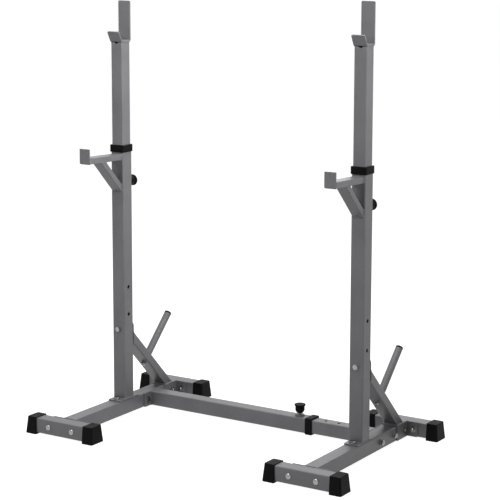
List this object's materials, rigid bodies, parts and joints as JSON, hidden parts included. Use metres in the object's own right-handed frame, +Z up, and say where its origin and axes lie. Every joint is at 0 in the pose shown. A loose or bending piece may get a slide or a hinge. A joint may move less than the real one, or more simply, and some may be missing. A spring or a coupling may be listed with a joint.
{
  "type": "squat stand",
  "caption": "Adjustable pair of squat stands with pinned telescoping masts, spotter brackets, plate pegs and a telescoping floor bar that sets their spacing",
  "frame": {"origin": "on the floor, under the middle of the whole footprint", "axes": "+X runs from the left stand to the right stand, +Y points to the back, away from the lifter's side with the saddle lips, +Z points up"},
  "size_m": [1.208, 0.709, 1.4503],
  "materials": {
    "grey_paint": "satin silver-grey metallic powder coat",
    "black_plastic": "satin moulded black plastic",
    "zinc": "bright zinc plated steel"
  },
  "bodies": {
    "left_stand": {"left_side_rail": "grey_paint", "left_front_crossbar": "grey_paint", "left_front_outer_foot_cap": "black_plastic", "left_front_outer_bolt": "zinc", "left_front_inner_foot_cap": "black_plastic", "left_front_inner_bolt": "zinc", "left_rear_crossbar": "grey_paint", "left_rear_outer_foot_cap": "black_plastic", "left_rear_outer_bolt": "zinc", "left_rear_inner_foot_cap": "black_plastic", "left_rear_inner_bolt": "zinc", "left_upright": "grey_paint", "left_base_front_bolt": "zinc", "left_base_rear_bolt": "zinc", "left_upright_collar": "black_plastic", "left_spotter_bracket": "grey_paint", "left_rear_brace": "grey_paint", "left_brace_top_bolt": "zinc", "left_brace_foot_bolt": "zinc", "left_plate_peg": "grey_paint", "left_peg_cap": "black_plastic", "left_link_front_bolt": "zinc", "left_link_rear_bolt": "zinc", "link_outer_tube": "grey_paint", "link_collar": "black_plastic"},
    "right_stand": {"right_side_rail": "grey_paint", "right_front_crossbar": "grey_paint", "right_front_outer_foot_cap": "black_plastic", "right_front_outer_bolt": "zinc", "right_front_inner_foot_cap": "black_plastic", "right_front_inner_bolt": "zinc", "right_rear_crossbar": "grey_paint", "right_rear_outer_foot_cap": "black_plastic", "right_rear_outer_bolt": "zinc", "right_rear_inner_foot_cap": "black_plastic", "right_rear_inner_bolt": "zinc", "right_upright": "grey_paint", "right_base_front_bolt": "zinc", "right_base_rear_bolt": "zinc", "right_upright_collar": "black_plastic", "right_spotter_bracket": "grey_paint", "right_rear_brace": "grey_paint", "right_brace_top_bolt": "zinc", "right_brace_foot_bolt": "zinc", "right_plate_peg": "grey_paint", "right_peg_cap": "black_plastic", "right_link_front_bolt": "zinc", "right_link_rear_bolt": "zinc", "link_inner_tube": "grey_paint"},
    "left_mast": {"left_mast_tube": "grey_paint", "left_bar_saddle": "grey_paint"},
    "left_lock": {"left_lock_knob": "black_plastic", "left_lock_pin": "zinc"},
    "right_mast": {"right_mast_tube": "grey_paint", "right_bar_saddle": "grey_paint"},
    "right_lock": {"right_lock_knob": "black_plastic", "right_lock_pin": "zinc"},
    "link_lock": {"link_lock_knob": "black_plastic", "link_lock_pin": "zinc"}
  },
  "joints": [
    {"name": "spacing_slide", "type": "slide", "parent": "left_stand", "child": "right_stand", "axis": [1, 0, 0], "range_m": [-0.15, 0.1]},
    {"name": "left_mast_slide", "type": "slide", "parent": "left_stand", "child": "left_mast", "axis": [0, 0, 1], "range_m": [-0.325, 0.125]},
    {"name": "right_mast_slide", "type": "slide", "parent": "right_stand", "child": "right_mast", "axis": [0, 0, 1], "range_m": [-0.35, 0.1]},
    {"name": "left_lock_pull", "type": "slide", "parent": "left_stand", "child": "left_lock", "axis": [0, 1, 0], "range_m": [-0.005, 0]},
    {"name": "right_lock_pull", "type": "slide", "parent": "right_stand", "child": "right_lock", "axis": [0, 1, 0], "range_m": [-0.005, 0]},
    {"name": "link_lock_pull", "type": "slide", "parent": "left_stand", "child": "link_lock", "axis": [0, 0, 1], "range_m": [-0.005, 0]}
  ]
}
